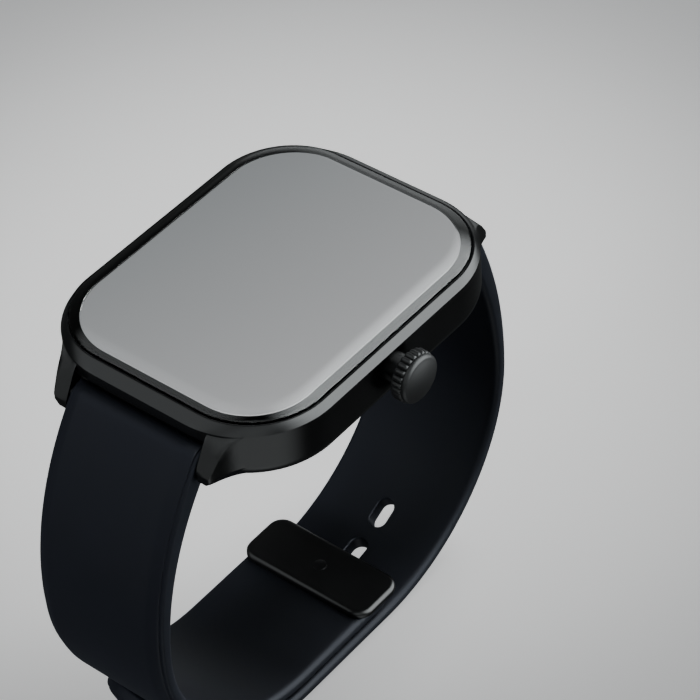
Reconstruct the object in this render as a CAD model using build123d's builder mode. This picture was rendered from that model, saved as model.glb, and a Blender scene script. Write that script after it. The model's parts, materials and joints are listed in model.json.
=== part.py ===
"""Square smartwatch on a silicone strap, closed as it stands on a table.

Units are millimetres. The origin is the centre of the flat sensor window on the
watch's back. +Z leaves through the display, +X through the crown and +Y through
the end of the case that carries the long strap.
"""

import os
from math import cos, radians, sin

from build123d import *

# Case
case_width = 38.2
case_length = 48.4
case_corner = 12.0
case_bottom = 1.4
lip_height = 8.4
rim_top = 9.4
rim_width = 36.8
rim_length = 45.6
rim_corner = 10.2
edge_radius = 2.2
ledge_height = 8.7
cavity_width = 34.2
cavity_length = 42.0
cavity_corner = 8.6
cavity_floor = 3.0

# Glass and display
opening_width = 36.4
opening_length = 45.2
opening_corner = 10.0
glass_gap = 0.2
glass_top = 10.9
glass_slope_width = 2.0
glass_slope_depth = 1.2
glass_round = 4.0
gasket_thickness = 0.2
display_width = 32.2
display_length = 41.6
display_corner = 8.2
display_thickness = 0.8
bracket_thickness = 0.5
bracket_window = (14.0, 4.0)
bracket_window_y = 16.0
bracket_hole_spacing = (22.0, 16.0)
bracket_hole_radius = 1.5
flex_y = 17.2
flex_half_width = 5.0
flex_thickness = 0.2

# Back cover and its openings
back_width = 30.4
back_length = 40.0
back_corner = 5.5
back_thickness = 1.0
back_gap = 0.1
back_ledge_width = 24.4
back_ledge_length = 34.0
back_ledge_corner = 3.0
back_seal = 0.2
screw_x = 13.7
screw_y = 13.0
screw_radius = 0.5
screw_head_radius = 0.9
screw_head_height = 0.5
screw_length = 1.5
sensor_radius = 9.0
sensor_seat_radius = 8.2
sensor_thickness = 1.5
bump_radius = 12.0
bump_height = 0.9
contact_x = 4.0
contact_y = -14.4
contact_radius = 1.2
magnet_x = 9.0
magnet_radius = 2.0
magnet_thickness = 1.0

# Lugs and the recesses between them
lug_gap = 20.3
lug_tip_round = 0.35
bar_y = 24.9
bar_z = 4.4
recess_radius = 2.7

# Sections of a lug square to Y: distance from the middle, outer side, height of
# the top at the inner and outer side, height and inset of the side's foot, bottom
lug_sections = (
    (20.6, 15.5, 8.4, 8.4, 3.6, 2.0, 1.4),
    (21.6, 14.45, 8.4, 8.4, 3.6, 1.8, 1.4),
    (22.5, 13.7, 8.4, 8.25, 3.6, 1.6, 1.45),
    (23.5, 13.15, 8.35, 7.65, 3.6, 1.4, 1.6),
    (24.4, 12.82, 7.45, 6.9, 3.6, 1.2, 1.85),
    (25.1, 12.6, 6.3, 6.0, 3.6, 1.0, 2.1),
    (25.8, 12.38, 5.1, 4.95, 3.5, 0.8, 2.4),
    (26.4, 12.1, 3.95, 3.9, 3.4, 0.6, 2.7),
)

# Strap
strap_width = 19.9
strap_thickness = 2.4
strap_root_thickness = 3.8
strap_end_radius = 2.0
bend_z = -22.6
far_bend_y = 5.2
far_bend_radius = 26.5
near_bend_y = 11.2
near_bend_radius = 23.8
near_end_y = 7.6
near_end_corner = 4.0
tail_sweep = 50.0
tail_corner = 8.5
hole_pitch = 6.8
hole_length = 4.2
hole_width = 2.5
peg_y = 3.4
peg_slack = 0.4
bend_holes = 2
run_holes = 3
tail_holes = 2

# Clasp
clasp_width = 21.0
clasp_length = 8.4
clasp_corner = 2.2
clasp_proud = 1.1
peg_radius = 0.95
peg_head_radius = 1.15
peg_head_height = 0.6

# Quick-release bars
tube_radius = 0.75
tube_half_length = 9.4
tip_radius = 0.42
tip_hole_radius = 0.45
tip_reach = 11.3
tip_plug_length = 1.9
release_travel = 1.4
release_rod_start = 5.0
release_knob_x = 7.8
release_knob_radius = 0.55
release_knob_reach = 1.9
spring_start = 1.0
spring_wire_radius = 0.08
spring_radius = 0.31
spring_turns = 8

# Crown
crown_y = 0.0
crown_z = 5.0
crown_radius = 3.4
crown_back_x = 20.4
crown_ring_x = 21.9
crown_face_x = 22.9
crown_dome_height = 0.7
crown_face_radius = 3.2
crown_core_radius = 2.8
crown_teeth = 24
tooth_groove_radius = 0.28
crown_bore_radius = 2.2
crown_bore_x = 21.3
tube_outer_radius = 1.9
tube_end_x = 20.2
tube_inner_x = 15.4
shaft_radius = 1.27
shaft_clearance = 0.03
shaft_start_x = 12.4
shaft_end_x = 22.0
ring_groove_depth = 0.27
ring_groove_width = 0.55
ring_xs = (17.0, 18.4)
clip_x = 14.6
clip_thickness = 0.35
clip_radius = 1.9
clip_groove_radius = 1.0
pad_x = 11.7
pad_radius = 1.9
pad_pocket_depth = 0.5
switch_x = 10.4
switch_thickness = 0.7
switch_size = (4.2, 3.2)
switch_dome_height = 0.25
switch_dome_radius = 1.1
bracket_plate = (6.4, 3.8)
bracket_arm = (0.4, 3.6)
bracket_arm_y = 2.95
bracket_sheet = 0.4

# Inner parts
battery_size = (22.0, 19.4, 3.6)
battery_centre = (-2.9, -8.6, 5.3)
battery_corner = 1.5
tray_thickness = 0.3
board_thickness = 0.8
board_z = 4.9
board_edge_y = 3.6
board_hole_x = 13.0
board_hole_y = 5.0
board_hole_radius = 0.7
cans = (((-7.2, 10.2), (11.5, 10.5)), ((7.4, 9.4), (11.0, 8.5)))
can_corner = 0.8
can_wall = 0.2
can_clearance = 0.3
antenna_z = 3.7
antenna_height = 0.9
antenna_thickness = 0.5
antenna_end_y = 13.0
tray_wall = 0.4
tray_height = 2.4
motor_size = (5.0, 10.0, 3.2)
motor_centre = (12.9, -12.4, 5.2)
battery_round = 0.5
motor_round = 0.6
board_end_gap = 0.6
board_side_gap = 0.4
board_corner_cut = 0.5

# Sensors, contacts and screws
centre_lamp = 2.4
outer_lamp = (1.6, 2.4)
outer_lamps = 4
lamp_circle = 5.0
sensor_board_gap = 0.1
sensor_board_margin = 0.6
sensor_board_tab = (6, 5)
sensor_board_thickness = 0.5
window_bevel = 0.5
contact_length = 1.1
contact_sunk = 0.05
magnet_length = 0.8
screw_slot = (1.1, 0.28)
screw_slot_depth = 0.3

# Small gaps and edges
recess_cut = 10.0
tip_gap = 0.2
gasket_gap = 0.1
cavity_gap = 0.2
battery_gap = 0.1
window_gap = 0.05
screw_gap = 0.05
screw_seal_gap = 0.1
press_gap = 0.02
knob_gap = 0.3
pin_slot_gap = 0.1
window_margin = 0.5
groove_shift = 0.06
clip_mouth = 1.2
switch_corner = 0.3
back_round = 0.6
clasp_round = 0.5
peg_sunk = 0.1
peg_head_round = 0.25
edge_search = 0.1

# Worked out from the sizes above
cavity_fit = (cavity_width - 2 * cavity_gap, cavity_length - 2 * cavity_gap)
glass_width = opening_width - 2 * glass_gap
glass_length = opening_length - 2 * glass_gap
glass_corner = opening_corner - glass_gap
glass_bottom = ledge_height + gasket_thickness
display_bottom = glass_bottom - display_thickness
bracket_bottom = display_bottom - bracket_thickness
back_ledge_z = case_bottom + back_thickness
half_lug_gap = lug_gap / 2
half_strap = strap_width / 2
far_side_y = far_bend_y + far_bend_radius
near_side_y = near_bend_y + near_bend_radius
far_run_z = bend_z - far_bend_radius
near_run_z = bend_z - near_bend_radius
tail_start_y = -near_bend_y
crown_plane = Plane(origin=(0, crown_y, crown_z), x_dir=(0, 1, 0), z_dir=(1, 0, 0))


def crown_sketch_plane(x):
    """Plane across the crown's axis, at a distance x from the watch's middle."""
    return crown_plane.offset(x)


def save(piece, name):
    piece.label = name
    export_step(piece, f"parts/{name}.step")


def upper_radius(side_y):
    """Radius of the strap's upper arc, from the bar to its widest place."""
    out = side_y - bar_y
    drop = bar_z - bend_z
    return (out * out + drop * drop) / (2 * out)


def bar_normal(side, side_y):
    """Direction square to the strap at its bar, pointing out of the loop."""
    radius = upper_radius(side_y)
    centre_y = side * (side_y - radius)
    return Vector((side * bar_y - centre_y) / radius, (bar_z - bend_z) / radius)


def strap_outline(side, side_y, bend_y, bend_radius, run_end, tail):
    """Closed side view of one strap, drawn in the current line builder."""
    half = strap_thickness / 2
    root = strap_root_thickness / 2
    pivot = Vector(side * bar_y, bar_z)
    normal = bar_normal(side, side_y)
    bend_start = 0 if side > 0 else 180
    bend_centre = (side * bend_y, bend_z)
    run_z = bend_z - bend_radius
    Line(pivot - normal * root, pivot + normal * root)
    for way in (1, -1):
        edge = way * half
        TangentArc(
            (side * (side_y + edge), bend_z),
            pivot + normal * (way * root),
            tangent=(0, 1),
        )
        CenterArc(bend_centre, bend_radius + edge, bend_start, -90 * side)
        Line((side * bend_y, run_z - edge), (run_end, run_z - edge))
        if tail:
            CenterArc((run_end, bend_z), bend_radius + edge, -90, -tail)
    turn = radians(-90 - tail)
    ends = [
        (
            run_end + (bend_radius + way * half) * cos(turn),
            bend_z + (bend_radius + way * half) * sin(turn),
        )
        for way in (1, -1)
    ]
    Line(*ends)


def run_plane(along):
    """Plane on the far strap's middle, at a length along it from the flat run."""
    radius = far_bend_radius
    if along > far_bend_y:
        angle = (along - far_bend_y) / radius
        middle = far_bend_y
    elif along < tail_start_y:
        angle = (along - tail_start_y) / radius
        middle = tail_start_y
    else:
        return Plane(origin=(0, along, far_run_z), x_dir=(1, 0, 0), z_dir=(0, 0, -1))
    out = Vector(0, sin(angle), -cos(angle))
    return Plane(origin=Vector(0, middle, bend_z) + out * radius, x_dir=(1, 0, 0), z_dir=out)


def release_plane(side, side_y):
    """Plane through the bar that faces the inside of the loop, for the knob."""
    normal = bar_normal(side, side_y)
    inward = Vector(0, -normal.X, -normal.Y)
    return Plane(origin=(0, side * bar_y, bar_z), x_dir=(1, 0, 0), z_dir=inward)


def bar_plane(side, x):
    return Plane(origin=(x, side * bar_y, bar_z), x_dir=(0, 1, 0), z_dir=(1, 0, 0))


os.makedirs("parts", exist_ok=True)

# Case frame: side walls, lugs and the sloping band round the glass
with BuildPart() as lug:
    for reach, side_x, inner_top, outer_top, foot, foot_inset, bottom in lug_sections:
        with BuildSketch(Plane(origin=(0, reach, 0), x_dir=(1, 0, 0), z_dir=(0, -1, 0))):
            with BuildLine():
                Polyline(
                    (half_lug_gap, inner_top),
                    (side_x, outer_top),
                    (side_x, foot),
                    (side_x - foot_inset, bottom),
                    (half_lug_gap, bottom),
                    close=True,
                )
            make_face()
    loft()
    fillet(faces().sort_by(Axis.Y)[-1].edges(), lug_tip_round)

with BuildPart() as case_frame:
    with BuildSketch(Plane.XY.offset(case_bottom)):
        RectangleRounded(case_width, case_length, case_corner)
    extrude(amount=lip_height - case_bottom)
    fillet(edges().group_by(Axis.Z)[0], edge_radius)
    for far_lug in (lug.part, lug.part.mirror(Plane.YZ)):
        add(far_lug)
        add(far_lug.mirror(Plane.XZ))
    with BuildSketch(Plane.XY.offset(lip_height)):
        RectangleRounded(case_width, case_length, case_corner)
    with BuildSketch(Plane.XY.offset(rim_top)):
        RectangleRounded(rim_width, rim_length, rim_corner)
    loft()
    for side in (1, -1):
        with BuildSketch(Plane.YZ):
            with Locations((side * bar_y, bar_z)):
                Circle(recess_radius)
            with Locations((side * (bar_y - recess_radius + recess_cut / 2), bar_z - recess_cut / 2)):
                Rectangle(recess_cut, recess_cut)
        extrude(amount=half_lug_gap, both=True, mode=Mode.SUBTRACT)
        with BuildSketch(bar_plane(side, 0)):
            Circle(tip_hole_radius)
        extrude(amount=tip_reach + tip_gap, both=True, mode=Mode.SUBTRACT)
    with BuildSketch(Plane.XY.offset(ledge_height)):
        RectangleRounded(opening_width, opening_length, opening_corner)
    extrude(amount=rim_top - ledge_height, mode=Mode.SUBTRACT)
    with BuildSketch(Plane.XY.offset(cavity_floor)):
        RectangleRounded(cavity_width, cavity_length, cavity_corner)
    extrude(amount=ledge_height - cavity_floor, mode=Mode.SUBTRACT)
    with BuildSketch(Plane.XY.offset(case_bottom)):
        RectangleRounded(back_width + 2 * back_gap, back_length + 2 * back_gap, back_corner)
    extrude(amount=back_thickness, mode=Mode.SUBTRACT)
    with BuildSketch(Plane.XY.offset(back_ledge_z)):
        RectangleRounded(back_ledge_width, back_ledge_length, back_ledge_corner)
    extrude(amount=cavity_floor - back_ledge_z, mode=Mode.SUBTRACT)
    with BuildSketch(Plane.XY.offset(back_ledge_z)):
        with GridLocations(2 * screw_x, 2 * screw_y, 2, 2):
            Circle(screw_radius)
    extrude(amount=cavity_floor - back_ledge_z, mode=Mode.SUBTRACT)
    with BuildSketch(crown_sketch_plane(tube_inner_x)):
        Circle(tube_outer_radius)
    extrude(amount=case_width / 2, mode=Mode.SUBTRACT)
save(case_frame.part, "case_frame")

# Cover glass, with an edge that slopes and rounds down into the groove
with BuildPart() as cover_glass:
    with BuildSketch(Plane.XY.offset(glass_bottom)):
        RectangleRounded(glass_width, glass_length, glass_corner)
    extrude(amount=glass_top - glass_slope_depth - glass_bottom)
    with BuildSketch(Plane.XY.offset(glass_top - glass_slope_depth)):
        RectangleRounded(glass_width, glass_length, glass_corner)
    with BuildSketch(Plane.XY.offset(glass_top)):
        RectangleRounded(
            glass_width - 2 * glass_slope_width,
            glass_length - 2 * glass_slope_width,
            glass_corner - glass_slope_width,
        )
    loft(ruled=True)
    fillet(faces().sort_by(Axis.Z)[-1].edges(), glass_round)
save(cover_glass.part, "cover_glass")

# Seal under the glass, and the display that is bonded inside it
with BuildPart() as glass_gasket:
    with BuildSketch(Plane.XY.offset(ledge_height)):
        RectangleRounded(glass_width, glass_length, glass_corner)
        RectangleRounded(
            display_width + 2 * gasket_gap,
            display_length + 2 * gasket_gap,
            display_corner,
            mode=Mode.SUBTRACT,
        )
    extrude(amount=gasket_thickness)
save(glass_gasket.part, "glass_gasket")

with BuildPart() as display_panel:
    with BuildSketch(Plane.XY.offset(display_bottom)):
        RectangleRounded(display_width, display_length, display_corner)
    extrude(amount=display_thickness)
save(display_panel.part, "display_panel")

with BuildPart() as display_bracket:
    with BuildSketch(Plane.XY.offset(bracket_bottom)):
        RectangleRounded(*cavity_fit, cavity_corner - cavity_gap)
        with Locations((0, bracket_window_y)):
            Rectangle(*bracket_window, mode=Mode.SUBTRACT)
        with GridLocations(*bracket_hole_spacing, 2, 2):
            Circle(bracket_hole_radius, mode=Mode.SUBTRACT)
    extrude(amount=bracket_thickness)
save(display_bracket.part, "display_bracket")

with BuildPart() as display_flex:
    with BuildSketch(Plane.XZ.offset(-flex_y)):
        with BuildLine():
            Polyline(
                (-flex_half_width, display_bottom),
                (flex_half_width, display_bottom),
                (flex_half_width, board_z + board_thickness),
                (-flex_half_width, board_z + board_thickness),
                close=True,
            )
        make_face()
    extrude(amount=flex_thickness)
save(display_flex.part, "display_flex")

# Main board, with its screening cans and the wireless aerial round its edge
board_reach = cavity_length / 2 - board_end_gap
with BuildPart() as main_board:
    with BuildSketch(Plane.XY.offset(board_z)):
        RectangleRounded(
            cavity_width - 2 * board_side_gap, 2 * board_reach, cavity_corner - board_corner_cut
        )
        with Locations((0, -cavity_length / 2 + board_edge_y)):
            Rectangle(cavity_width, cavity_length, mode=Mode.SUBTRACT)
        with Locations((board_hole_x, board_hole_y), (-board_hole_x, board_hole_y)):
            Circle(board_hole_radius, mode=Mode.SUBTRACT)
    extrude(amount=board_thickness)
save(main_board.part, "main_board")

can_height = bracket_bottom - can_clearance - board_z - board_thickness
with BuildPart() as shield_cans:
    for wall, height in ((0, can_height), (can_wall, can_height - can_wall)):
        with BuildSketch(Plane.XY.offset(board_z + board_thickness)):
            for (can_x, can_y), (can_width, can_length) in cans:
                with Locations((can_x, can_y)):
                    RectangleRounded(can_width - 2 * wall, can_length - 2 * wall, can_corner)
        extrude(amount=height, mode=Mode.SUBTRACT if wall else Mode.ADD)
save(shield_cans.part, "shield_cans")

with BuildPart() as antenna:
    with BuildSketch(Plane.XY.offset(antenna_z)):
        RectangleRounded(*cavity_fit, cavity_corner - cavity_gap)
        RectangleRounded(
            cavity_fit[0] - 2 * antenna_thickness,
            cavity_fit[1] - 2 * antenna_thickness,
            cavity_corner - cavity_gap - antenna_thickness,
            mode=Mode.SUBTRACT,
        )
        with Locations((0, antenna_end_y - cavity_length / 2)):
            Rectangle(cavity_width, cavity_length, mode=Mode.SUBTRACT)
    extrude(amount=antenna_height)
save(antenna.part, "antenna")

# Battery in its tray, and the vibration motor beside it
battery_x, battery_y, battery_mid = battery_centre
with BuildPart() as battery:
    with Locations(battery_centre):
        Box(*battery_size)
    fillet(edges().filter_by(Axis.Z), battery_corner)
    fillet(faces().sort_by(Axis.Z)[-1].edges(), battery_round)
save(battery.part, "battery")

tray_bottom = battery_mid - battery_size[2] / 2 - tray_thickness
with BuildPart() as battery_tray:
    with BuildSketch(Plane.XY.offset(tray_bottom)):
        with Locations((battery_x, battery_y)):
            RectangleRounded(
                battery_size[0] + 2 * (battery_gap + tray_wall),
                battery_size[1] + 2 * (battery_gap + tray_wall),
                battery_corner + tray_wall,
            )
    extrude(amount=tray_height)
    with BuildSketch(Plane.XY.offset(tray_bottom + tray_thickness)):
        with Locations((battery_x, battery_y)):
            RectangleRounded(
                battery_size[0] + 2 * battery_gap,
                battery_size[1] + 2 * battery_gap,
                battery_corner,
            )
    extrude(amount=tray_height, mode=Mode.SUBTRACT)
save(battery_tray.part, "battery_tray")

with BuildPart() as vibration_motor:
    with Locations(motor_centre):
        Box(*motor_size)
    fillet(edges().filter_by(Axis.Z), motor_round)
save(vibration_motor.part, "vibration_motor")

# Back cover with the raised ring round the sensor window
with BuildPart() as back_cover:
    with BuildSketch(Plane.XY.offset(case_bottom)):
        RectangleRounded(back_width, back_length, back_corner - back_gap)
    extrude(amount=back_thickness - back_seal)
    with BuildSketch(Plane.XY.offset(case_bottom - bump_height)):
        Circle(bump_radius)
    extrude(amount=bump_height)
    fillet(edges().group_by(Axis.Z)[0], back_round)
    with BuildSketch(Plane.XY.offset(case_bottom - bump_height)):
        Circle(sensor_radius + window_gap)
    extrude(amount=sensor_thickness - case_bottom + bump_height, mode=Mode.SUBTRACT)
    with BuildSketch(Plane.XY.offset(case_bottom)):
        Circle(sensor_seat_radius)
        with Locations((contact_x, contact_y), (-contact_x, contact_y)):
            Circle(contact_radius)
        with GridLocations(2 * screw_x, 2 * screw_y, 2, 2):
            Circle(screw_radius)
    extrude(amount=back_thickness, mode=Mode.SUBTRACT)
    with BuildSketch(Plane.XY.offset(case_bottom)):
        with GridLocations(2 * screw_x, 2 * screw_y, 2, 2):
            Circle(screw_head_radius + screw_gap)
    extrude(amount=screw_head_height, mode=Mode.SUBTRACT)
save(back_cover.part, "back_cover")

with BuildPart() as back_gasket:
    with BuildSketch(Plane.XY.offset(back_ledge_z - back_seal)):
        RectangleRounded(back_width, back_length, back_corner - back_gap)
        RectangleRounded(
            back_ledge_width, back_ledge_length, back_ledge_corner, mode=Mode.SUBTRACT
        )
        with GridLocations(2 * screw_x, 2 * screw_y, 2, 2):
            Circle(screw_radius + screw_seal_gap, mode=Mode.SUBTRACT)
    extrude(amount=back_seal)
save(back_gasket.part, "back_gasket")

with BuildPart() as back_screws:
    with BuildSketch(Plane.XY.offset(case_bottom)):
        with GridLocations(2 * screw_x, 2 * screw_y, 2, 2):
            Circle(screw_head_radius)
    extrude(amount=screw_head_height)
    with BuildSketch(Plane.XY.offset(case_bottom)):
        with GridLocations(2 * screw_x, 2 * screw_y, 2, 2):
            Circle(screw_radius - press_gap)
    extrude(amount=screw_length)
    with BuildSketch(Plane.XY.offset(case_bottom)):
        with GridLocations(2 * screw_x, 2 * screw_y, 2, 2):
            Rectangle(*screw_slot)
            Rectangle(*reversed(screw_slot))
    extrude(amount=screw_slot_depth, mode=Mode.SUBTRACT)
save(back_screws.part, "back_screws")

# Sensor window, sensor board and lamps
with BuildPart() as sensor_window:
    with BuildSketch(Plane.XY):
        Circle(sensor_radius)
    extrude(amount=sensor_thickness)
    chamfer(edges().group_by(Axis.Z)[0], window_bevel)
save(sensor_window.part, "sensor_window")

sensor_board_z = back_ledge_z + sensor_board_gap
with BuildPart() as sensor_board:
    with BuildSketch(Plane.XY.offset(sensor_board_z)):
        Circle(sensor_radius + sensor_board_margin)
        with Locations((0, -sensor_radius - 2)):
            Rectangle(*sensor_board_tab)
    extrude(amount=sensor_board_thickness)
save(sensor_board.part, "sensor_board")

with BuildPart() as sensor_lamps:
    with BuildSketch(Plane.XY.offset(sensor_board_z)):
        Rectangle(centre_lamp, centre_lamp)
        with PolarLocations(lamp_circle, outer_lamps):
            Rectangle(*outer_lamp)
    extrude(amount=sensor_thickness + sensor_board_gap - sensor_board_z)
save(sensor_lamps.part, "sensor_lamps")

# Charging contacts and the magnets that hold the charger
with BuildPart() as charging_contacts:
    with BuildSketch(Plane.XY.offset(case_bottom + contact_sunk)):
        with Locations((contact_x, contact_y), (-contact_x, contact_y)):
            Circle(contact_radius - press_gap)
    extrude(amount=contact_length)
save(charging_contacts.part, "charging_contacts")

with BuildPart() as charging_magnets:
    with BuildSketch(Plane.XY.offset(case_bottom + back_thickness - back_seal)):
        with Locations((magnet_x, contact_y), (-magnet_x, contact_y)):
            Circle(magnet_radius)
    extrude(amount=magnet_length)
save(charging_magnets.part, "charging_magnets")

# Crown: tube in the case wall, shaft, knurled ring, face, seals, clip and switch
with BuildPart() as crown_tube:
    with BuildSketch(crown_sketch_plane(tube_inner_x)):
        Circle(tube_outer_radius)
    extrude(amount=tube_end_x - tube_inner_x)
    with BuildSketch(crown_sketch_plane(tube_inner_x)):
        Circle(shaft_radius + shaft_clearance)
    extrude(amount=tube_end_x - tube_inner_x, mode=Mode.SUBTRACT)
save(crown_tube.part, "crown_tube")

with BuildPart() as crown_ring:
    with BuildSketch(crown_sketch_plane(crown_back_x)):
        Circle(crown_radius)
        with PolarLocations(crown_radius + groove_shift, crown_teeth):
            Circle(tooth_groove_radius, mode=Mode.SUBTRACT)
        Circle(crown_core_radius, mode=Mode.SUBTRACT)
    extrude(amount=crown_ring_x - crown_back_x)
save(crown_ring.part, "crown_ring")

with BuildPart() as crown_face:
    with BuildSketch(crown_sketch_plane(crown_back_x)):
        Circle(crown_core_radius)
    extrude(amount=crown_ring_x - crown_back_x)
    with BuildSketch(Plane(origin=crown_plane.origin, x_dir=(1, 0, 0), z_dir=(0, -1, 0))):
        with BuildLine():
            rim_x = crown_face_x - crown_dome_height
            Polyline(
                (crown_face_x, 0),
                (crown_ring_x, 0),
                (crown_ring_x, crown_face_radius),
                (rim_x, crown_face_radius),
            )
            RadiusArc(
                (rim_x, crown_face_radius),
                (crown_face_x, 0),
                (crown_face_radius**2 + crown_dome_height**2) / (2 * crown_dome_height),
            )
        make_face()
    revolve(axis=Axis(crown_plane.origin, (1, 0, 0)))
    with BuildSketch(crown_sketch_plane(crown_back_x)):
        Circle(crown_bore_radius)
    extrude(amount=crown_bore_x - crown_back_x, mode=Mode.SUBTRACT)
    with BuildSketch(crown_sketch_plane(crown_back_x)):
        Circle(shaft_radius)
    extrude(amount=shaft_end_x - crown_back_x, mode=Mode.SUBTRACT)
save(crown_face.part, "crown_face")

with BuildPart() as crown_shaft:
    with BuildSketch(crown_sketch_plane(shaft_start_x)):
        Circle(shaft_radius)
    extrude(amount=shaft_end_x - shaft_start_x)
    for ring_x in ring_xs:
        with BuildSketch(crown_sketch_plane(ring_x)):
            Circle(shaft_radius)
            Circle(shaft_radius - ring_groove_depth, mode=Mode.SUBTRACT)
        extrude(amount=ring_groove_width, mode=Mode.SUBTRACT)
    with BuildSketch(crown_sketch_plane(clip_x)):
        Circle(shaft_radius)
        Circle(clip_groove_radius, mode=Mode.SUBTRACT)
    extrude(amount=clip_thickness, mode=Mode.SUBTRACT)
save(crown_shaft.part, "crown_shaft")

with BuildPart() as crown_seals:
    for ring_x in ring_xs:
        with BuildSketch(crown_sketch_plane(ring_x)):
            Circle(shaft_radius)
            Circle(shaft_radius - ring_groove_depth, mode=Mode.SUBTRACT)
        extrude(amount=ring_groove_width)
save(crown_seals.part, "crown_seals")

with BuildPart() as crown_clip:
    with BuildSketch(crown_sketch_plane(clip_x)):
        Circle(clip_radius)
        Circle(clip_groove_radius, mode=Mode.SUBTRACT)
        with Locations((0, clip_radius)):
            Rectangle(clip_mouth, 2 * clip_radius, mode=Mode.SUBTRACT)
    extrude(amount=clip_thickness)
save(crown_clip.part, "crown_clip")

with BuildPart() as crown_push_pad:
    with BuildSketch(crown_sketch_plane(pad_x)):
        Circle(pad_radius)
    extrude(amount=shaft_start_x - pad_x + pad_pocket_depth)
    with BuildSketch(crown_sketch_plane(shaft_start_x)):
        Circle(shaft_radius + shaft_clearance)
    extrude(amount=pad_pocket_depth, mode=Mode.SUBTRACT)
save(crown_push_pad.part, "crown_push_pad")

with BuildPart() as crown_switch:
    with BuildSketch(crown_sketch_plane(switch_x)):
        RectangleRounded(*switch_size, switch_corner)
    extrude(amount=switch_thickness - switch_dome_height)
    with BuildSketch(crown_sketch_plane(switch_x)):
        Circle(switch_dome_radius)
    extrude(amount=switch_thickness)
save(crown_switch.part, "crown_switch")

with BuildPart() as crown_bracket:
    with BuildSketch(crown_sketch_plane(switch_x - bracket_sheet)):
        RectangleRounded(*bracket_plate, switch_corner)
    extrude(amount=bracket_sheet)
    with BuildSketch(crown_sketch_plane(switch_x)):
        with Locations((-bracket_arm_y, 0), (bracket_arm_y, 0)):
            Rectangle(*bracket_arm)
    extrude(amount=tube_inner_x - switch_x)
save(crown_bracket.part, "crown_bracket")

# Straps: the far one with its row of holes, the near one that carries the clasp
slot_length = release_travel + 2 * release_knob_radius + knob_gap
slot_x = release_knob_x - release_travel / 2


def strap_end(side):
    """Round end that wraps the bar."""
    with BuildPart() as end:
        with BuildSketch(bar_plane(side, -half_strap)):
            Circle(strap_end_radius)
        extrude(amount=strap_width)
    return end.part


def strap_bore(side, side_y):
    """Space taken out of a strap for its bar, with the release knob's window."""
    with BuildPart() as bore:
        with BuildSketch(bar_plane(side, -half_strap)):
            Circle(tube_radius + press_gap)
        extrude(amount=strap_width)
        with BuildSketch(release_plane(side, side_y)):
            with Locations((slot_x, 0)):
                SlotOverall(slot_length, 2 * release_knob_radius + knob_gap)
        extrude(amount=strap_end_radius + window_margin)
    return bore.part


far_end = strap_end(1)
far_bore = strap_bore(1, far_side_y)
near_end = strap_end(-1)
near_bore = strap_bore(-1, near_side_y)


with BuildPart() as far_strap:
    with BuildSketch(Plane.YZ.offset(-half_strap)):
        with BuildLine():
            strap_outline(1, far_side_y, far_bend_y, far_bend_radius, tail_start_y, tail_sweep)
        make_face()
    extrude(amount=strap_width)
    tail_turn = radians(-90 - tail_sweep)
    tail_y = tail_start_y + far_bend_radius * cos(tail_turn)
    tail_z = bend_z + far_bend_radius * sin(tail_turn)
    tail_edges = edges().filter_by(
        lambda e: abs(abs(e.center().X) - half_strap) < edge_search
        and abs(e.center().Y - tail_y) < edge_search
        and abs(e.center().Z - tail_z) < edge_search
    )
    fillet(tail_edges, tail_corner)
    add(far_end)
    add(far_bore, mode=Mode.SUBTRACT)
    hole_shift = (hole_length - hole_width) / 2 - peg_slack
    first_hole = peg_y + hole_shift + bend_holes * hole_pitch
    for index in range(bend_holes + run_holes + tail_holes):
        with BuildSketch(run_plane(first_hole - index * hole_pitch)):
            SlotOverall(hole_length, hole_width, rotation=90)
        extrude(amount=strap_thickness, both=True, mode=Mode.SUBTRACT)
save(far_strap.part, "far_strap")

near_inner_z = near_run_z + strap_thickness / 2
with BuildPart() as near_strap:
    with BuildSketch(Plane.YZ.offset(-half_strap)):
        with BuildLine():
            strap_outline(-1, near_side_y, near_bend_y, near_bend_radius, near_end_y, 0)
        make_face()
    extrude(amount=strap_width)
    end_edges = edges().filter_by(Axis.Z).filter_by(lambda e: e.center().Y > near_end_y - edge_search)
    fillet(end_edges, near_end_corner)
    add(near_end)
    add(near_bore, mode=Mode.SUBTRACT)
    with BuildSketch(Plane.XY.offset(near_run_z - strap_thickness)):
        with Locations((0, peg_y)):
            Circle(peg_radius)
    extrude(amount=2 * strap_thickness, mode=Mode.SUBTRACT)
save(near_strap.part, "near_strap")

# Clasp: a plate on the near strap's end with a peg through both straps
with BuildPart() as clasp_plate:
    with BuildSketch(Plane.XY.offset(near_inner_z)):
        with Locations((0, peg_y)):
            RectangleRounded(clasp_width, clasp_length, clasp_corner)
    extrude(amount=clasp_proud)
    fillet(faces().sort_by(Axis.Z)[-1].edges(), clasp_round)
    with BuildSketch(Plane.XY.offset(near_inner_z)):
        with Locations((0, peg_y)):
            Circle(peg_radius)
    extrude(amount=clasp_proud, mode=Mode.SUBTRACT)
save(clasp_plate.part, "clasp_plate")

peg_bottom = far_run_z - strap_thickness / 2 + peg_sunk
with BuildPart() as clasp_peg:
    with BuildSketch(Plane.XY.offset(peg_bottom)):
        with Locations((0, peg_y)):
            Circle(peg_radius)
    extrude(amount=near_inner_z + clasp_proud - peg_bottom)
    with BuildSketch(Plane.XY.offset(peg_bottom)):
        with Locations((0, peg_y)):
            Circle(peg_head_radius)
    extrude(amount=peg_head_height)
    fillet(edges().group_by(Axis.Z)[0], peg_head_round)
save(clasp_peg.part, "clasp_peg")

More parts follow.
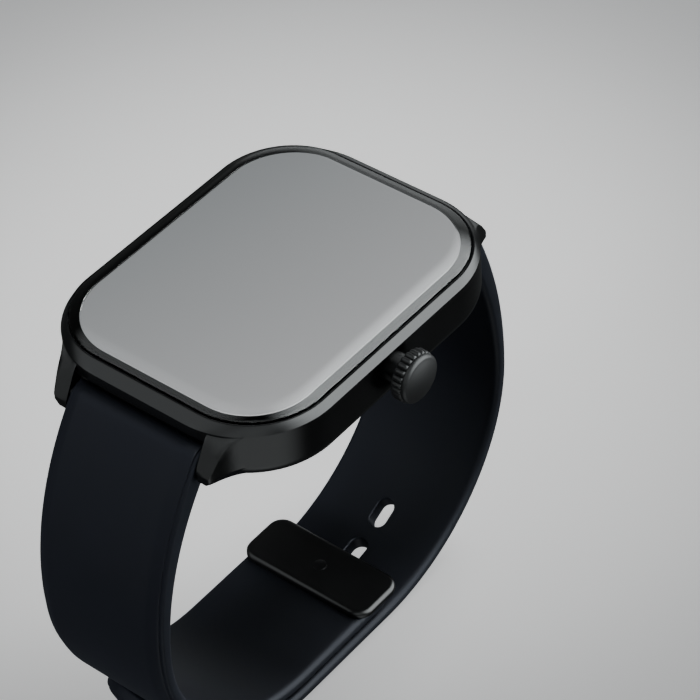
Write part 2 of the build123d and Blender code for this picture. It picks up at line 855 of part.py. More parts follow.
# Quick-release bars, one in each strap's end
for side, side_y, name in ((1, far_side_y, "far"), (-1, near_side_y, "near")):
    knob_plane = release_plane(side, side_y)
    with BuildPart() as bar_tube:
        with BuildSketch(bar_plane(side, -tube_half_length)):
            Circle(tube_radius)
        extrude(amount=2 * tube_half_length)
        with BuildSketch(bar_plane(side, -tube_half_length)):
            Circle(tip_hole_radius)
        extrude(amount=tip_plug_length, mode=Mode.SUBTRACT)
        with BuildSketch(bar_plane(side, spring_start)):
            Circle(tip_hole_radius)
        extrude(amount=tube_half_length - spring_start, mode=Mode.SUBTRACT)
        with BuildSketch(knob_plane):
            with Locations((slot_x, 0)):
                SlotOverall(slot_length, 2 * release_knob_radius + pin_slot_gap)
        extrude(amount=tube_radius + tip_gap, mode=Mode.SUBTRACT)
    save(bar_tube.part, f"{name}_bar_tube")

    with BuildPart() as bar_tip:
        with BuildSketch(bar_plane(side, -tip_reach)):
            Circle(tip_radius)
        extrude(amount=tip_reach - tube_half_length)
        with BuildSketch(bar_plane(side, -tube_half_length)):
            Circle(tip_hole_radius)
        extrude(amount=tip_plug_length)
    save(bar_tip.part, f"{name}_bar_tip")

    with BuildPart() as release_pin:
        with BuildSketch(bar_plane(side, release_rod_start)):
            Circle(tip_radius)
        extrude(amount=tip_reach - release_rod_start)
        with BuildSketch(knob_plane):
            with Locations((release_knob_x, 0)):
                Circle(release_knob_radius)
        extrude(amount=release_knob_reach)
    save(release_pin.part, f"{name}_release_pin")

    spring_length = release_rod_start - spring_start - 2 * spring_wire_radius
    with BuildPart() as release_spring:
        with BuildLine():
            coil = Helix(
                spring_length / spring_turns,
                spring_length,
                spring_radius,
                center=(spring_start + spring_wire_radius, side * bar_y, bar_z),
                direction=(1, 0, 0),
            )
        with BuildSketch(Plane(origin=coil @ 0, z_dir=coil % 0)):
            Circle(spring_wire_radius)
        sweep()
    save(release_spring.part, f"{name}_release_spring")
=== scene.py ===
"""Looks of the smartwatch: detailed straps, crown, clasp and glass, materials and a studio."""
import json
from math import atan2, cos, pi, radians, sin, sqrt, tan, tau

import bmesh
import bpy
from mathutils import Matrix, Vector


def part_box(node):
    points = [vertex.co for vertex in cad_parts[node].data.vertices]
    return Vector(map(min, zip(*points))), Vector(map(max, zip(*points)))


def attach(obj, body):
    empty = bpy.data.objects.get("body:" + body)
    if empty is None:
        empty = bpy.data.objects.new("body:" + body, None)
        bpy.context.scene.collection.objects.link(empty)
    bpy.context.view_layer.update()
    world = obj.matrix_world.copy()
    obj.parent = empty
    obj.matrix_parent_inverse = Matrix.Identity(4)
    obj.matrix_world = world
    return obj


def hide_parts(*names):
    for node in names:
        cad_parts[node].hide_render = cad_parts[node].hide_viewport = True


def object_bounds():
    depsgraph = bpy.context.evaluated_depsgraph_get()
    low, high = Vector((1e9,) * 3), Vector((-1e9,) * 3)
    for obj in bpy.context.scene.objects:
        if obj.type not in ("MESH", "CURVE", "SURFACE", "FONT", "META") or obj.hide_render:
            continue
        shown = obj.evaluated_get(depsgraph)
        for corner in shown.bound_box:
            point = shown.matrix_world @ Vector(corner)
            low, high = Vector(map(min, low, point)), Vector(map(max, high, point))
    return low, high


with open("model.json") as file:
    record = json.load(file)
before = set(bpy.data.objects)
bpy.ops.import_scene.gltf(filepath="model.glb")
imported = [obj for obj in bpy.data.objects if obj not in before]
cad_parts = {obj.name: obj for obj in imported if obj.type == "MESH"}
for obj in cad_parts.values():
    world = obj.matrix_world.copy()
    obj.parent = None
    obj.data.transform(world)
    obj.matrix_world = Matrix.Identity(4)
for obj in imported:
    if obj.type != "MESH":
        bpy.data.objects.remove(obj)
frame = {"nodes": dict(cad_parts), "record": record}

cad_low, cad_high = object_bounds()

MM = 0.001
nodes = frame["nodes"]
scene = bpy.context.scene

# Strap, in millimetres, on the same lines as the CAD straps; each bend is a centre and a radius
BAR_Y = 24.9
BAR_Z = 4.4
BEND_Z = -22.6
FAR_BEND = (5.2, 26.5)
NEAR_BEND = (11.2, 23.8)
HALF_WIDTH = 9.95
THICKNESS = 2.4
ROOT_THICKNESS = 3.8
ROOT_RADIUS = 2.0
NEAR_END = 7.6
NEAR_CORNER = 4.0
TAIL_SWEEP = 50.0
TAIL_CORNER = 8.5
TIP_ROUND = 0.7
TIP_THINNING = 0.8
THINNEST = 0.02

# Strap's section: insets from its side with depths below the outer and above the inner face
OUTER_EDGE = (
    (2.6, 0.0), (2.15, 0.004), (1.9, 0.03), (1.65, 0.095), (1.2, 0.24), (0.85, 0.36), (0.62, 0.45),
    (0.50, 0.52), (0.46, 0.60), (0.46, 0.73), (0.30, 0.75), (0.14, 0.80), (0.05, 0.90), (0.0, 1.04),
    (0.0, 1.18),
)
INNER_EDGE = ((0.0, 0.72), (0.07, 0.46), (0.24, 0.22), (0.5, 0.06), (0.9, 0.0), (1.6, 0.0))
FULL_EDGE_WIDTH = 4.0

# Oval holes in the long strap, and the release knobs' windows inside both straps
HOLE_PITCH = 6.8
HOLE_COUNT = 7
HOLE_LENGTH = 4.2
HOLE_WIDTH = 2.5
HOLE_FLARE = 0.25
FIRST_HOLE = 17.45
WINDOW_X = 7.1
WINDOW_LENGTH = 2.8
WINDOW_WIDTH = 1.4
WINDOW_FLARE = 0.2
WINDOW_INWARD = 3.0
WINDOW_REACH = 2.6
CUTTER_BEYOND = 1.0
CUTTER_SPREAD = 1.6

# Crown
CROWN_Y = 0.0
CROWN_Z = 5.0
CROWN_RADIUS = 3.38
CROWN_TEETH = 24
TOOTH_POINTS = 12
TOOTH_ROUNDNESS = 0.7
GROOVE_DEPTH = 0.38
GROOVE_END = 0.55
RING_ROUND = 0.35
RING_CHAMFER = (0.62, 0.42)
CROWN_BORE = 2.8
PLUG_GAP = 0.1
CROWN_HOLLOW = 2.2
CROWN_HOLLOW_X = 21.3
FACE_ROUND = 0.5
FACE_DOME = 0.32

# Clasp plate and cover glass
CLASP_CORNER = 2.2
CLASP_HEIGHT = 1.1
CLASP_ROUND = 0.55
GLASS_CORNER = 9.8
GLASS_SLOPE = (2.0, 1.2)
GLASS_ROUND = 4.0
GLASS_EDGE = 0.12

# Widths of the CAD nodes' rounded edges, and angles from which the added pieces stay sharp
EDGE_BEVELS = {
    "case_frame": 0.10,
    "back_cover": 0.06,
    "sensor_window": 0.05,
}
SMALL_BEVEL = 0.03
STRAP_SHARP = radians(40)
PLATE_SHARP = radians(50)

# Camera, in metres; its lens is in millimetres
AZIMUTH = radians(42.17)
ELEVATION = radians(42.99)
ROLL = radians(-4.79)
CAMERA_DISTANCE = 0.35463
CAMERA_TARGET = Vector((0.01055, 0.00124, 0.0024))
CAMERA_LENS = 152.05

# Lamps, a metre away: direction, side in metres and surface brightness
LAMPS = (
    ("overhead", (0.0, 0.70, 1.0), 0.35, 9.0),
    ("front", (-0.15, -1.0, 0.35), 0.3, 6.0),
    ("behind", (-0.7, 0.8, 0.25), 0.5, 1.2),
)

# Soft glows that the gloss sees: direction, full and outer angle in degrees, brightness
GLOWS = (
    ((0.70, 0.55, 0.45), 18, 62, 7.0),
    ((-0.49, -0.50, 0.72), 12, 38, 1.0),
    ((0.45, -0.80, 0.45), 10, 40, 0.9),
    ((-0.49, -0.86, 0.11), 10, 35, 0.45),
    ((-0.49, 0.85, 0.05), 12, 30, 0.5),
    ((0.52, -0.47, -0.68), 10, 36, 0.8),
)
AMBIENT = 0.05
GLOW_COLOUR = (0.95, 1.0, 1.01, 1)

# Floor, in millimetres: flat to a radius, then a bend up into a wall
FLOOR_FLAT = 3000.0
FLOOR_BEND = 1500.0
FLOOR_WALL = 4000.0
FLOOR_GAP = 0.02

# Centre of the painted pool of light on the floor, palest there, and how far it reaches, in metres
PAINTED_LIGHT_SPOT = (-0.038, 0.042)
PAINTED_LIGHT_REACH = 0.12


# ---------------------------------------------------------------- meshes
def mesh_object(name, vertices, faces):
    """Smooth object from points in millimetres."""
    mesh = bpy.data.meshes.new(name)
    mesh.from_pydata([Vector(v) * MM for v in vertices], [], faces)
    mesh.validate()
    mesh.update()
    mesh.shade_smooth()
    made = bpy.data.objects.new(name, mesh)
    scene.collection.objects.link(made)
    return made


def bands(size, count, first=0, looped=False):
    """Faces between rings of points, each ring listed after the one before it."""
    faces = []
    for ring in range(count if looped else count - 1):
        here = first + ring * size
        after = first + (ring + 1) % count * size
        for j in range(size):
            k = (j + 1) % size
            faces.append((here + j, after + j, after + k, here + k))
    return faces


def loft(name, rings, looped=False):
    """Closed object through rings of points, capped at its ends or joined in a loop."""
    size = len(rings[0])
    vertices = [point for ring in rings for point in ring]
    faces = bands(size, len(rings), looped=looped)
    if not looped:
        faces.append(tuple(range(size)))
        faces.append(tuple(range(len(vertices) - size, len(vertices))))
    made = mesh_object(name, vertices, faces)
    mesh = bmesh.new()
    mesh.from_mesh(made.data)
    bmesh.ops.recalc_face_normals(mesh, faces=mesh.faces)
    mesh.to_mesh(made.data)
    mesh.free()
    return made


def quarter_turns(steps):
    """Angles from nothing to a right angle."""
    return [pi / 2 * i / steps for i in range(steps + 1)]


# ---------------------------------------------------------------- camera
def add_camera():
    """Camera above the crown's side, looking down on the whole screen."""
    back = Vector(
        (sin(AZIMUTH) * cos(ELEVATION), -cos(AZIMUTH) * cos(ELEVATION), sin(ELEVATION))
    )
    level = Vector((cos(AZIMUTH), sin(AZIMUTH), 0))
    upright = back.cross(level)
    right = level * cos(ROLL) + upright * sin(ROLL)
    up = upright * cos(ROLL) - level * sin(ROLL)
    data = bpy.data.cameras.new("camera")
    data.lens = CAMERA_LENS
    data.sensor_width = 36
    data.clip_start = 0.01
    data.clip_end = 20
    camera = bpy.data.objects.new("camera", data)
    turn = Matrix((right, up, back)).transposed().to_4x4()
    camera.matrix_world = Matrix.Translation(CAMERA_TARGET + back * CAMERA_DISTANCE) @ turn
    scene.collection.objects.link(camera)
    scene.camera = camera


# ---------------------------------------------------------------- materials
def new_material(name):
    """New material with its node tree and its shader."""
    material = bpy.data.materials.new(name)
    material.use_nodes = True
    return material, material.node_tree, material.node_tree.nodes["Principled BSDF"]


def noise(tree, scale, detail=3.0):
    """Noise in the object's own metres."""
    place = tree.nodes.new("ShaderNodeTexCoord")
    texture = tree.nodes.new("ShaderNodeTexNoise")
    texture.inputs["Scale"].default_value = scale
    texture.inputs["Detail"].default_value = detail
    tree.links.new(place.outputs["Object"], texture.inputs["Vector"])
    return texture.outputs["Fac"]


def spread(tree, source, low, high):
    """Maps a 0 to 1 value to a range."""
    ranged = tree.nodes.new("ShaderNodeMapRange")
    ranged.inputs["To Min"].default_value = low
    ranged.inputs["To Max"].default_value = high
    tree.links.new(source, ranged.inputs["Value"])
    return ranged.outputs["Result"]


def graded(tree, shape, mapping, curve, stops):
    """Colour that runs between two stops of a gradient; mapping is a type with its inputs."""
    place = tree.nodes.new("ShaderNodeTexCoord")
    mapped = tree.nodes.new("ShaderNodeMapping")
    mapped.vector_type, values = mapping
    for name, value in values.items():
        mapped.inputs[name].default_value = value
    gradient = tree.nodes.new("ShaderNodeTexGradient")
    gradient.gradient_type = shape
    ramp = tree.nodes.new("ShaderNodeValToRGB")
    ramp.color_ramp.interpolation = curve
    for element, (position, colour) in zip(ramp.color_ramp.elements, stops):
        element.position = position
        element.color = (*colour, 1)
    tree.links.new(place.outputs["Object"], mapped.inputs["Vector"])
    tree.links.new(mapped.outputs["Vector"], gradient.inputs["Vector"])
    tree.links.new(gradient.outputs["Fac"], ramp.inputs["Fac"])
    return ramp.outputs["Color"]


def finish(
    name, colour, roughness, metallic=0.0, specular=0.5,
    mottle=0.15, bump=0.05, rough_spread=0.08,
):
    """Opaque surface with uneven colour and roughness and a fine grain."""
    material, tree, shader = new_material(name)
    shader.inputs["Metallic"].default_value = metallic
    shader.inputs["Specular IOR Level"].default_value = specular
    cloud = noise(tree, 120)
    mix = tree.nodes.new("ShaderNodeMix")
    mix.data_type = "RGBA"
    mix.inputs["A"].default_value = (*[c * (1 - mottle) for c in colour], 1)
    mix.inputs["B"].default_value = (*[c * (1 + mottle) for c in colour], 1)
    tree.links.new(cloud, mix.inputs["Factor"])
    tree.links.new(mix.outputs["Result"], shader.inputs["Base Color"])
    rough = spread(tree, cloud, roughness - rough_spread, roughness + rough_spread)
    tree.links.new(rough, shader.inputs["Roughness"])
    relief = tree.nodes.new("ShaderNodeBump")
    relief.inputs["Strength"].default_value = bump
    relief.inputs["Distance"].default_value = 0.00002
    tree.links.new(noise(tree, 9000, 2.0), relief.inputs["Height"])
    tree.links.new(relief.outputs["Normal"], shader.inputs["Normal"])
    return material


def display_material():
    """Blank lit display, glowing grey, with a painted reflection that makes it a little brighter
    towards the crown's near corner.
    """
    material, tree, shader = new_material("display_grey")
    mapping = ("POINT", {"Location": (0.5, 0, 0), "Rotation": (0, 0, radians(15)), "Scale": [25] * 3})
    stops = ((0.0, (0.236, 0.248, 0.256)), (1.0, (0.408, 0.412, 0.42)))
    # painted reflection: the glow runs from darker to brighter across the screen
    glow = graded(tree, "LINEAR", mapping, "LINEAR", stops)
    shader.inputs["Base Color"].default_value = (0.02, 0.02, 0.02, 1)
    shader.inputs["Roughness"].default_value = 0.3
    shader.inputs["Emission Strength"].default_value = 1.0
    tree.links.new(glow, shader.inputs["Emission Color"])
    return material


def glass_material():
    """Clear cover glass with a slightly uneven polish."""
    material, tree, shader = new_material("cover_glass")
    shader.inputs["Base Color"].default_value = (0.97, 0.98, 0.98, 1)
    shader.inputs["Transmission Weight"].default_value = 1.0
    shader.inputs["IOR"].default_value = 1.5
    tree.links.new(spread(tree, noise(tree, 60), 0.015, 0.03), shader.inputs["Roughness"])
    return material


def floor_material():
    """Pale paper with a painted pool of light: palest behind the watch and darker outwards, with a
    glow of its own that paints light over the watch's shadow.
    """
    material, tree, shader = new_material("floor_paper_painted_light")
    mapping = ("TEXTURE", {"Location": (*PAINTED_LIGHT_SPOT, cad_low.z), "Scale": [PAINTED_LIGHT_REACH] * 3})
    stops = ((0.1, (0.36, 0.367, 0.372)), (0.75, (0.86, 0.868, 0.868)))
    # painted pool of light: the paper colour runs from darker at the rim to palest at the spot
    paper_with_painted_light = graded(tree, "SPHERICAL", mapping, "EASE", stops)
    tree.links.new(paper_with_painted_light, shader.inputs["Base Color"])
    tree.links.new(paper_with_painted_light, shader.inputs["Emission Color"])
    # the floor's own glow paints light where the watch's shadow falls
    shader.inputs["Emission Strength"].default_value = 0.85
    shader.inputs["Roughness"].default_value = 0.9
    shader.inputs["Specular IOR Level"].default_value = 0.1
    return material


# Opaque slots of the record: colour, roughness and what differs from the usual surface
OPAQUE = {
    "case_black": ((0.0115, 0.0125, 0.0135), 0.22, {"rough_spread": 0.04, "bump": 0.04}),
    "crown_black": ((0.02, 0.0208, 0.0218), 0.43, {"bump": 0.03}),
    "sensor_glass": ((0.008, 0.008, 0.009), 0.05, {"rough_spread": 0.01, "bump": 0}),
    "black_plastic": ((0.012, 0.012, 0.013), 0.45, {"bump": 0.2}),
    "seal_rubber": ((0.01, 0.01, 0.01), 0.6, {}),
    "strap_rubber": ((0.030, 0.034, 0.048), 0.48, {"specular": 0.18, "bump": 0.25, "mottle": 0.1}),
    "board_green": ((0.01, 0.09, 0.05), 0.4, {}),
    "flex_amber": ((0.4, 0.16, 0.03), 0.35, {}),
    "can_steel": ((0.5, 0.5, 0.5), 0.35, {"metallic": 1}),
    "pin_steel": ((0.55, 0.55, 0.56), 0.25, {"metallic": 1}),
    "battery_foil": ((0.6, 0.6, 0.62), 0.3, {"metallic": 1}),
    "contact_gold": ((0.83, 0.58, 0.25), 0.22, {"metallic": 1}),
    "magnet_nickel": ((0.7, 0.7, 0.71), 0.15, {"metallic": 1}),
    "lamp_resin": ((0.6, 0.65, 0.5), 0.2, {}),
    "clasp_black": ((0.012, 0.012, 0.013), 0.3, {}),
}


def slot_materials():
    """One material for each slot of the record."""
    made = {}
    for slot, (colour, roughness, differences) in OPAQUE.items():
        made[slot] = finish(slot, colour, roughness, **differences)
    made["display_grey"] = display_material()
    made["cover_glass"] = glass_material()
    return made


materials = slot_materials()


def dress_nodes():
    """Gives each CAD node its slot's material."""
    slots = {part["node"]: part["material_slot"] for part in frame["record"]["subparts"]}
    for name, node in nodes.items():
        node.data.materials.clear()
        node.data.materials.append(materials[slots[name]])


def soften(node, width):
    """Narrow rounded edges and smooth curves on a CAD node, by modifiers only."""
    node.data.shade_smooth()
    weld = node.modifiers.new("weld", "WELD")
    weld.merge_threshold = 0.000002
    bevel = node.modifiers.new("bevel", "BEVEL")
    bevel.width = width * MM
    bevel.segments = 2
    bevel.angle_limit = radians(28)
    node.modifiers.new("normals", "WEIGHTED_NORMAL")


# ---------------------------------------------------------------- studio
def add_lamp(name, direction, side, brightness):
    """Square soft lamp turned to the watch, which the gloss doesn't see."""
    data = bpy.data.lights.new(name, "AREA")
    data.size = side
    data.energy = brightness * pi * side * side
    lamp = bpy.data.objects.new(name, data)
    away = Vector(direction).normalized()
    lamp.location = away
    lamp.rotation_euler = away.to_track_quat("Z", "Y").to_euler()
    lamp.visible_glossy = False
    scene.collection.objects.link(lamp)


def add_glows():
    """Smoothly graded surroundings for reflections; the lamps do the lighting."""
    world = bpy.data.worlds.new("studio")
    scene.world = world
    world.use_nodes = True
    world.cycles_visibility.diffuse = False
    tree = world.node_tree
    place = tree.nodes.new("ShaderNodeTexCoord")
    total = None
    for direction, inner, outer, brightness in GLOWS:
        facing = tree.nodes.new("ShaderNodeVectorMath")
        facing.operation = "DOT_PRODUCT"
        facing.inputs[1].default_value = Vector(direction).normalized()
        tree.links.new(place.outputs["Generated"], facing.inputs[0])
        glow = tree.nodes.new("ShaderNodeMapRange")
        glow.interpolation_type = "SMOOTHSTEP"
        glow.inputs["From Min"].default_value = cos(radians(outer))
        glow.inputs["From Max"].default_value = cos(radians(inner))
        glow.inputs["To Min"].default_value = AMBIENT if total is None else 0.0
        glow.inputs["To Max"].default_value = brightness
        tree.links.new(facing.outputs["Value"], glow.inputs["Value"])
        if total is None:
            total = glow.outputs["Result"]
            continue
        add = tree.nodes.new("ShaderNodeMath")
        tree.links.new(total, add.inputs[0])
        tree.links.new(glow.outputs["Result"], add.inputs[1])
        total = add.outputs["Value"]
    tree.links.new(total, tree.nodes["Background"].inputs["Strength"])
    tree.nodes["Background"].inputs["Color"].default_value = GLOW_COLOUR


def add_floor():
    """Pale round floor that curves up into a wall far away on every side."""
    around, flat_rings, bend_steps = 96, 6, 12
    base = cad_low.z / MM - FLOOR_GAP
    line = [(FLOOR_FLAT * i / flat_rings, base) for i in range(1, flat_rings)]
    for turn in quarter_turns(bend_steps):
        line.append((FLOOR_FLAT + FLOOR_BEND * sin(turn), base + FLOOR_BEND * (1 - cos(turn))))
    line.append((FLOOR_FLAT + FLOOR_BEND, base + FLOOR_WALL))
    vertices = [(0, 0, base)]
    for reach, height in line:
        turns = [tau * i / around for i in range(around)]
        vertices += [(reach * cos(turn), reach * sin(turn), height) for turn in turns]
    faces = [(0, 1 + i, 1 + (i + 1) % around) for i in range(around)]
    faces += bands(around, len(line), first=1)
    floor = mesh_object("floor", vertices, faces)
    floor.data.materials.append(floor_material())
    floor.visible_glossy = False
    floor.visible_diffuse = False


# ---------------------------------------------------------------- straps
class StrapLine:
    """Middle line of a strap in the plane across X, by its length from the bar."""

    def __init__(self, side, bend, end, tail):
        bend_y, bend_radius = bend
        side_y = bend_y + bend_radius
        out = side_y - BAR_Y
        drop = BAR_Z - BEND_Z
        self.side = side
        self.upper_radius = (out * out + drop * drop) / (2 * out)
        self.upper_centre = side * (side_y - self.upper_radius)
        self.upper_angle = atan2(drop, self.upper_radius - out)
        self.bend_radius = bend_radius
        self.bend_centre = side * bend_y
        self.run_end = end
        self.upper_length = self.upper_radius * self.upper_angle
        self.bend_end = self.upper_length + bend_radius * pi / 2
        self.run_stop = self.bend_end + abs(end - self.bend_centre)
        self.length = self.run_stop + bend_radius * radians(tail)

    def at(self, along):
        """(y, z), outward normal and forward direction at a length along."""
        if along < 0:
            point, normal, forward = self.at(0)
            return point + forward * along, normal, forward
        if along < self.upper_length:
            angle = self.upper_angle - along / self.upper_radius
            normal = Vector((self.side * cos(angle), sin(angle)))
            point = Vector((self.upper_centre, BEND_Z)) + normal * self.upper_radius
        elif along < self.bend_end:
            angle = -(along - self.upper_length) / self.bend_radius
            normal = Vector((self.side * cos(angle), sin(angle)))
            point = Vector((self.bend_centre, BEND_Z)) + normal * self.bend_radius
        elif along < self.run_stop:
            normal = Vector((0, -1))
            reach = self.bend_centre - self.side * (along - self.bend_end)
            point = Vector((reach, BEND_Z - self.bend_radius))
        else:
            angle = (along - self.run_stop) / self.bend_radius
            normal = Vector((-self.side * sin(angle), -cos(angle)))
            point = Vector((self.run_end, BEND_Z)) + normal * self.bend_radius
        forward = Vector((normal.y, -normal.x)) * self.side
        return point, normal, forward


def strap_section(half_width, half):
    """Closed section: bevelled outer face, a fine step, rounded sides, flat inner face."""
    thin = min(1.0, 2 * half / THICKNESS)
    slim = min(1.0, half_width / FULL_EDGE_WIDTH)
    right = [(half_width - inset * slim, half - fall * thin) for inset, fall in OUTER_EDGE]
    right += [(half_width - inset * slim, -half + rise * thin) for inset, rise in INNER_EDGE]
    across = (0.25, 0.5, 0.75)
    top = [(right[0][0] * share, half) for share in across]
    base = [(right[-1][0] * share, -half) for share in reversed(across)]
    one_side = [(0.0, half)] + top + right + base + [(0.0, -half)]
    return one_side + [(-u, v) for u, v in reversed(one_side[1:-1])]


def strap_stations(line, corner):
    """Lengths along the strap, closer together at its round ends."""
    root_steps, body_step, corner_steps = 10, 0.8, 16
    body_end = line.length - corner
    count = int(body_end / body_step)
    root = [-ROOT_RADIUS * cos(turn) for turn in quarter_turns(root_steps)[:-1]]
    body = [body_end * i / count for i in range(count)]
    end = [body_end + corner * sin(turn) for turn in quarter_turns(corner_steps)]
    return root + body + end


def strap_mesh(name, line, corner):
    """Whole strap without its holes."""
    rings = []
    for along in strap_stations(line, corner):
        point, normal, _ = line.at(along)
        share = min(1.0, max(0.0, along / line.upper_length))
        half = (ROOT_THICKNESS * (1 - share) + THICKNESS * share) / 2
        width = HALF_WIDTH
        if along < 0:
            half = max(THINNEST, half * sqrt(1 - (along / ROOT_RADIUS) ** 2))
        over = along - (line.length - corner)
        if over > 0:
            width = HALF_WIDTH - corner + sqrt(max(0.0, corner ** 2 - over ** 2))
        left = line.length - along
        if left < TIP_ROUND:
            half *= sqrt(1 - ((TIP_ROUND - left) / TIP_ROUND * TIP_THINNING) ** 2)
        section = strap_section(width, half)
        rings.append([(u, point.x + normal.x * v, point.y + normal.y * v) for u, v in section])
    return loft(name, rings)


def oval_cutter(centre, across, along, out, size, reach, flare):
    """Oval plug that widens at both faces, to cut a hole with rounded rims."""
    length, width = size
    steps, half_count = 5, 16
    lower = [(-reach - CUTTER_BEYOND, flare * CUTTER_SPREAD)]
    lower += [(-reach + flare * (1 - cos(t)), flare * (1 - sin(t))) for t in quarter_turns(steps)]
    levels = lower + [(-depth, grow) for depth, grow in reversed(lower)]
    half_run = (length - width) / 2
    rings = []
    for depth, grow in levels:
        radius = width / 2 + grow
        ring = []
        for i in range(2 * half_count):
            turn = pi * (i + 0.5) / half_count
            shift = half_run if i < half_count else -half_run
            ring.append(
                Vector(centre)
                + Vector(across) * (radius * cos(turn))
                + Vector(along) * (radius * sin(turn) + shift)
                + Vector(out) * depth
            )
        rings.append(ring)
    return loft("cutter", rings)


def cut(piece, cutters):
    """Cuts each cutter out of a piece and bakes the result into its mesh."""
    for cutter in cutters:
        boolean = piece.modifiers.new("hole", "BOOLEAN")
        boolean.operation = "DIFFERENCE"
        boolean.solver = "EXACT"
        boolean.object = cutter
    graph = bpy.context.evaluated_depsgraph_get()
    result = bpy.data.meshes.new_from_object(piece.evaluated_get(graph))
    piece.modifiers.clear()
    old = piece.data
    piece.data = result
    bpy.data.meshes.remove(old)
    for cutter in cutters:
        bpy.data.objects.remove(cutter)
    piece.data.shade_smooth()
    piece.data.set_sharp_from_angle(angle=STRAP_SHARP)


def hole_cutter(line, y):
    """Cutter for an adjustment hole, at the Y that it would have if the strap ran on flat."""
    point, normal, forward = line.at(line.bend_end + line.bend_centre - y)
    size = (HOLE_LENGTH, HOLE_WIDTH)
    return oval_cutter(
        (0, *point), (1, 0, 0), (0, *forward), (0, *normal), size, THICKNESS / 2, HOLE_FLARE
    )


def window_cutter(line):
    """Cutter for the release knob's window on the strap's inner side."""
    point, normal, forward = line.at(0)
    centre = (WINDOW_X, *(point - normal * WINDOW_INWARD))
    size = (WINDOW_LENGTH, WINDOW_WIDTH)
    return oval_cutter(
        centre, (0, *forward), (1, 0, 0), (0, *normal), size, WINDOW_REACH, WINDOW_FLARE
    )


def add_straps():
    """Both straps with their holes, in place of the CAD straps."""
    far_line = StrapLine(1, FAR_BEND, -NEAR_BEND[0], TAIL_SWEEP)
    near_line = StrapLine(-1, NEAR_BEND, NEAR_END, 0)
    far = strap_mesh("far_strap_silicone", far_line, TAIL_CORNER)
    near = strap_mesh("near_strap_silicone", near_line, NEAR_CORNER)
    holes = [hole_cutter(far_line, FIRST_HOLE - i * HOLE_PITCH) for i in range(HOLE_COUNT)]
    cut(far, holes + [window_cutter(far_line)])
    cut(near, [window_cutter(near_line)])
    for piece, body, node in ((far, "far_band", "far_strap"), (near, "near_band", "near_strap")):
        piece.data.materials.append(materials["strap_rubber"])
        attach(piece, body)
        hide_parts(node)


# ---------------------------------------------------------------- crown
def round_crown(x, radii):
    """Ring of points round the crown's axis, one for each radius."""
    step = tau / len(radii)
    return [
        (x, CROWN_Y + radius * cos(step * i), CROWN_Z + radius * sin(step * i))
        for i, radius in enumerate(radii)
    ]


def add_crown_knurl():
    """Coin-edged ring of the crown, with rounded teeth and rounded ends."""
    low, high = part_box("crown_ring")
    start, stop = low.x / MM, high.x / MM
    profile = [(0.0, drop) for drop in RING_CHAMFER]
    for turn in quarter_turns(6)[1:]:
        profile.append((RING_ROUND * (1 - cos(turn)), RING_ROUND * (1 - sin(turn))))
    profile += [(stop - start - x, drop) for x, drop in reversed(profile)]
    around = CROWN_TEETH * TOOTH_POINTS
    phases = [pi * i / TOOTH_POINTS for i in range(around)]
    waves = [1 - abs(cos(phase)) ** TOOTH_ROUNDNESS for phase in phases]
    rings = []
    for x, drop in profile:
        depth = GROOVE_DEPTH * max(0.0, 1 - drop / GROOVE_END)
        radii = [CROWN_RADIUS - drop - depth * wave for wave in waves]
        rings.append(round_crown(start + x, radii))
    rings += [round_crown(x, [CROWN_BORE] * around) for x in (stop, start)]
    knurl = loft("crown_knurl", rings, looped=True)
    knurl.data.set_sharp_from_angle(angle=PLATE_SHARP)
    knurl.data.materials.append(materials["crown_black"])
    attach(knurl, "crown")
    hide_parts("crown_ring")


def add_crown_face():
    """Face of the crown: nearly flat, with a rounded rim and a hollow plug into the ring."""
    low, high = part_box("crown_face")
    back, front = low.x / MM, high.x / MM
    reach = (high.y - low.y) / (2 * MM)
    plug = CROWN_BORE - PLUG_GAP
    side = front - FACE_DOME
    rim = side - FACE_ROUND
    flat = reach - FACE_ROUND
    dome_steps, around = 12, 96
    profile = [(CROWN_HOLLOW_X, CROWN_HOLLOW), (back, CROWN_HOLLOW), (back, plug)]
    profile += [(rim - 0.35, plug), (rim - 0.2, reach - 0.08), (rim - 0.12, reach)]
    for turn in quarter_turns(8):
        profile.append((rim + FACE_ROUND * sin(turn), flat + FACE_ROUND * cos(turn)))
    for step in range(dome_steps - 1, 0, -1):
        share = step / dome_steps
        profile.append((side + FACE_DOME * (1 - share ** 2), flat * share))
    rings = [round_crown(x, [radius] * around) for x, radius in profile]
    face = loft("crown_face_satin", rings)
    face.data.set_sharp_from_angle(angle=PLATE_SHARP)
    face.data.materials.append(materials["crown_black"])
    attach(face, "crown")
    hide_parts("crown_face")


# ---------------------------------------------------------------- plates with round corners
def rounded_outline(half_x, half_y, corner, turns):
    """Points round a rectangle with round corners."""
    points = []
    for quarter in range(4):
        centre_x = (1 if quarter in (0, 3) else -1) * (half_x - corner)
        centre_y = (1 if quarter in (0, 1) else -1) * (half_y - corner)
        for turn in quarter_turns(turns):
            angle = turn + quarter * pi / 2
            points.append((centre_x + corner * cos(angle), centre_y + corner * sin(angle)))
    return points


def ringed_plate(name, node, corner, turns, profile):
    """Plate in a CAD node's box; the profile's points are insets and heights from its bottom."""
    low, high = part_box(node)
    middle = (low + high) / (2 * MM)
    half = (high - low) / (2 * MM)
    rings = []
    for inset, height in profile:
        outline = rounded_outline(half.x - inset, half.y - inset, corner - inset, turns)
        rings.append([(middle.x + x, middle.y + y, low.z / MM + height) for x, y in outline])
    plate = loft(name, rings)
    plate.data.set_sharp_from_angle(angle=PLATE_SHARP)
    return plate


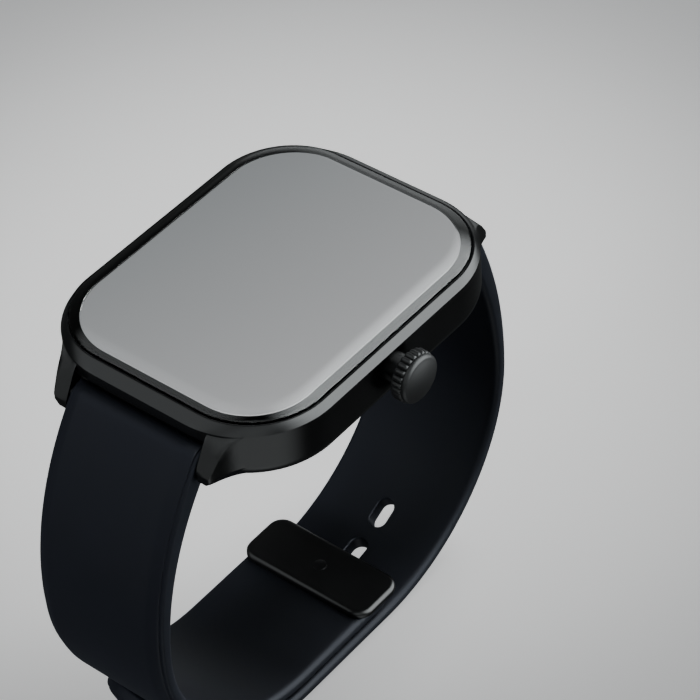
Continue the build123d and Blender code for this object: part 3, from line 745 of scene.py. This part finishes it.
def add_clasp():
    """Clasp plate with softly rounded edges and a shallow dished face."""
    side_top = CLASP_HEIGHT - CLASP_ROUND
    profile = [(0.5, 0.0), (0.12, 0.0), (0.0, 0.12)]
    for turn in quarter_turns(6):
        profile.append((CLASP_ROUND * (1 - cos(turn)), side_top + CLASP_ROUND * sin(turn)))
    profile += [(0.9, 1.09), (1.4, 1.06), (1.9, 1.04), (2.15, 1.04)]
    plate = ringed_plate("clasp_plate_rounded", "clasp_plate", CLASP_CORNER, 10, profile)
    plate.data.materials.append(materials["clasp_black"])
    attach(plate, "near_band")
    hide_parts("clasp_plate")


def add_glass():
    """Cover glass with its sloped rim running smoothly into the flat face."""
    low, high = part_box("cover_glass")
    height = (high.z - low.z) / MM
    width, depth = GLASS_SLOPE
    side_top = height - depth
    tilt = atan2(depth, width)
    reach = GLASS_ROUND * tan(tilt / 2)
    edge_steps, round_steps = 5, 12
    profile = [(1.0, 0.0), (0.1, 0.0), (0.0, 0.1), (0.0, side_top - GLASS_EDGE)]
    for i in range(1, edge_steps):
        turn = (pi / 2 - tilt) * i / edge_steps
        inset = GLASS_EDGE * (1 - cos(turn))
        profile.append((inset, side_top - GLASS_EDGE * (1 - sin(turn))))
    slope_stop = 1 - reach * cos(tilt) / width
    profile += [(width * s, side_top + depth * s) for s in (0.08, 0.16, slope_stop * 0.7)]
    centre_inset, centre_height = width + reach, height - GLASS_ROUND
    for i in range(round_steps + 1):
        turn = tilt * (1 - i / round_steps)
        inset = centre_inset - GLASS_ROUND * sin(turn)
        profile.append((inset, centre_height + GLASS_ROUND * cos(turn)))
    profile += [(centre_inset + 1.0, height), (centre_inset + 2.0, height)]
    glass = ringed_plate("cover_glass_rounded", "cover_glass", GLASS_CORNER, 32, profile)
    glass.data.materials.append(materials["cover_glass"])
    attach(glass, "case")
    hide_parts("cover_glass")


add_camera()
add_glows()
for lamp in LAMPS:
    add_lamp(*lamp)
add_floor()
dress_nodes()
for node_name, cad_node in nodes.items():
    soften(cad_node, EDGE_BEVELS.get(node_name, SMALL_BEVEL))
add_straps()
add_crown_knurl()
add_crown_face()
add_clasp()
add_glass()
